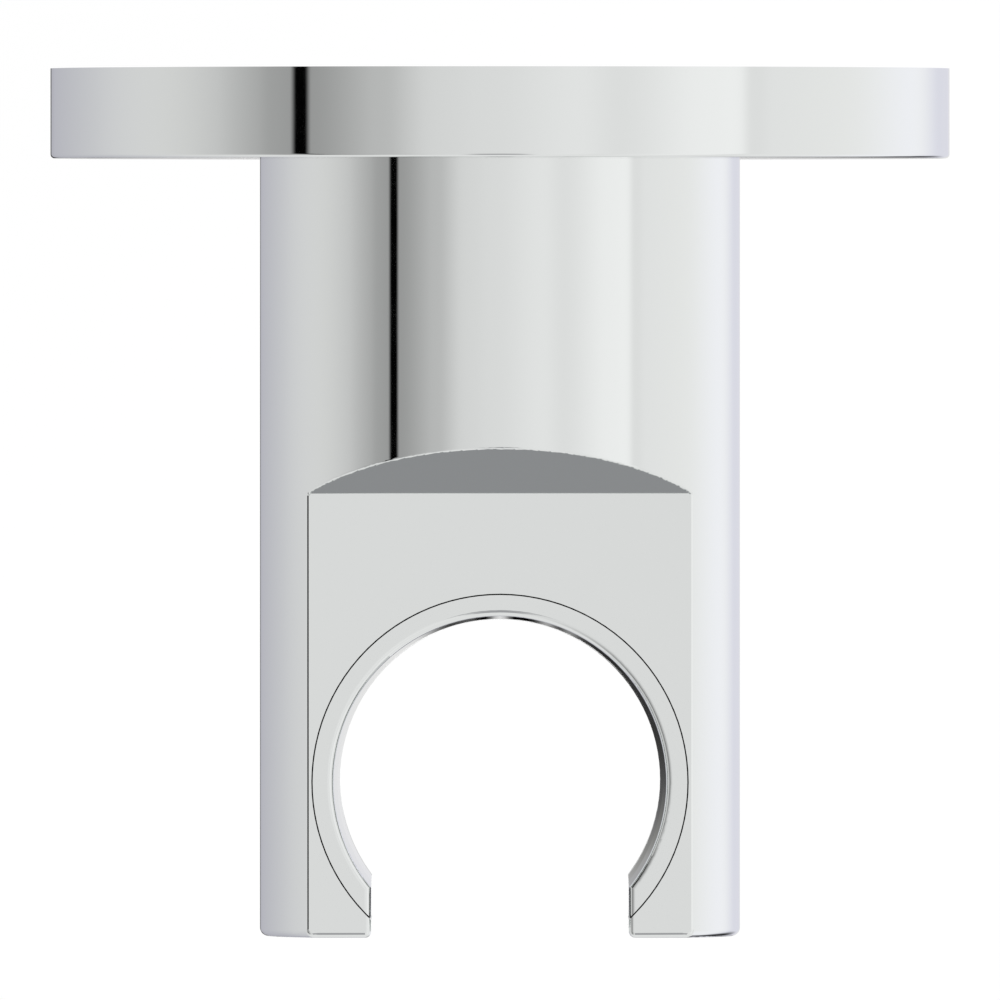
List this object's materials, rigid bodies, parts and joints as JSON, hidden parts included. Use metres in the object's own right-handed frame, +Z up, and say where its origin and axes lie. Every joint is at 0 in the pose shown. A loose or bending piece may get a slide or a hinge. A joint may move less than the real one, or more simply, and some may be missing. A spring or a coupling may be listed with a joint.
{
  "type": "hand shower holder",
  "caption": "Fixed wall holder for a hand shower: round flange, round arm with flat top, and an upright socket open at the front.",
  "frame": {"origin": "centre of the wall plate's back face, on the wall", "axes": "+Y into the wall, so the holder reaches towards -Y; +Z up, along the upright socket; +X to the right of someone facing the wall"},
  "size_m": [0.065, 0.0627, 0.065],
  "materials": {
    "chrome": "polished",
    "liner_chrome": "polished",
    "plate_steel": "satin",
    "post_brass": "satin",
    "screw_steel": "satin",
    "pin_steel": "polished",
    "seal_rubber": "matte"
  },
  "bodies": {
    "root": {"escutcheon": "chrome", "holder_body": "chrome", "socket_liner": "liner_chrome", "wall_plate": "plate_steel", "mounting_post": "post_brass", "post_screw": "screw_steel", "locating_pins": "pin_steel", "grub_screw": "screw_steel", "wall_seal": "seal_rubber"}
  },
  "joints": []
}
